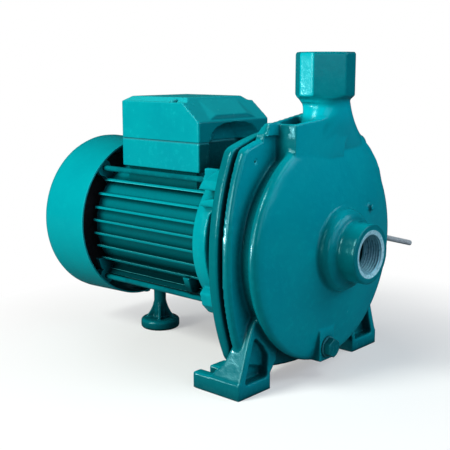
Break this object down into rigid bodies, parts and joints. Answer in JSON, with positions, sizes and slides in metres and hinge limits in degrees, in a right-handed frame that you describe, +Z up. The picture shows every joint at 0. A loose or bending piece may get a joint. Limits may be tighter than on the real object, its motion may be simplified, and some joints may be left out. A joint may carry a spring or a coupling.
{
  "type": "centrifugal water pump",
  "caption": "Close-coupled electric centrifugal water pump with round casing, front suction and top discharge ports, cast feet, finned motor, fan cover and terminal box.",
  "frame": {"origin": "centre of the suction port's mouth, on the shaft axis", "axes": "+Y along the shaft from the suction side towards the motor's fan, -Y out of the suction port, +Z up out of the discharge port, +X to the right seen from the suction side"},
  "size_m": [0.3328, 0.312, 0.2569],
  "materials": {
    "casing_paint": "glossy enamel over cast iron",
    "alloy_paint": "glossy enamel over cast aluminium",
    "sheet_paint": "glossy enamel over sheet steel",
    "plug_paint": "thin enamel over steel",
    "bolt_paint": "enamel sprayed over zinc plated steel",
    "gasket_rubber": "rubber with enamel on its edge",
    "zinc_steel": "zinc plated",
    "shaft_steel": "ground",
    "lamination": "stacked sheet edges",
    "impeller_brass": "cast, satin",
    "copper_wire": "varnished copper",
    "cast_alloy": "as cast",
    "black_rubber": "matt",
    "ceramic": "lapped",
    "carbon": "lapped graphite",
    "black_plastic": "moulded",
    "white_plastic": "moulded",
    "ball_steel": "polished",
    "cable_sheath": "matt sheath"
  },
  "bodies": {
    "pump_body": {"box_screws": "zinc_steel", "cable_gland_body": "black_plastic", "cable_gland_cap": "black_plastic", "cable_gland_nut": "black_plastic", "cable_gland_seal": "black_rubber", "capacitor": "white_plastic", "capacitor_clamp": "zinc_steel", "casing_bolts": "bolt_paint", "casing_oring": "black_rubber", "drain_plug": "plug_paint", "drain_plug_washer": "black_rubber", "earth_screw": "zinc_steel", "fan_cover": "sheet_paint", "fan_cover_screws": "bolt_paint", "foot_screw": "bolt_paint", "front_bearing_outer_ring": "ball_steel", "lid_gasket": "gasket_rubber", "lid_screws": "bolt_paint", "motor_bracket": "alloy_paint", "motor_foot": "alloy_paint", "motor_frame": "alloy_paint", "power_cable": "cable_sheath", "pump_casing": "casing_paint", "rear_bearing_outer_ring": "ball_steel", "rear_end_shield": "alloy_paint", "seal_seat": "ceramic", "seal_seat_cup": "black_rubber", "stator_core": "lamination", "stator_windings": "copper_wire", "terminal_block": "black_plastic", "terminal_box": "alloy_paint", "terminal_lid": "alloy_paint", "terminal_screws": "impeller_brass", "tie_rod_nuts": "bolt_paint", "tie_rod_washers": "bolt_paint", "tie_rods": "bolt_paint", "wave_washer": "zinc_steel"},
    "rotor": {"rotor_shaft": "shaft_steel", "rotor_core": "lamination", "rotor_cage": "cast_alloy", "impeller": "impeller_brass", "impeller_key": "shaft_steel", "impeller_washer": "zinc_steel", "impeller_nut": "zinc_steel", "seal_collar": "zinc_steel", "seal_spring": "zinc_steel", "seal_bellows": "black_rubber", "seal_face": "carbon", "slinger_ring": "black_rubber", "front_bearing_inner_ring": "ball_steel", "rear_bearing_inner_ring": "ball_steel", "cooling_fan": "black_plastic", "fan_clip": "zinc_steel"},
    "front_ball_set": {"front_bearing_balls": "ball_steel", "front_bearing_cage": "ball_steel"},
    "rear_ball_set": {"rear_bearing_balls": "ball_steel", "rear_bearing_cage": "ball_steel"}
  },
  "joints": [
    {"name": "rotor_spin", "type": "hinge", "parent": "pump_body", "child": "rotor", "pos_m": [0, 0.12, 0], "axis": [0, 1, 0], "continuous": true},
    {"name": "front_balls_orbit", "type": "hinge", "parent": "pump_body", "child": "front_ball_set", "pos_m": [0, 0.12, 0], "axis": [0, 1, 0], "continuous": true},
    {"name": "rear_balls_orbit", "type": "hinge", "parent": "pump_body", "child": "rear_ball_set", "pos_m": [0, 0.2525, 0], "axis": [0, 1, 0], "continuous": true}
  ],
  "couplings": [
    {"joint": "front_balls_orbit", "follows": "rotor_spin", "ratio": 0.3818},
    {"joint": "rear_balls_orbit", "follows": "rotor_spin", "ratio": 0.3812}
  ]
}
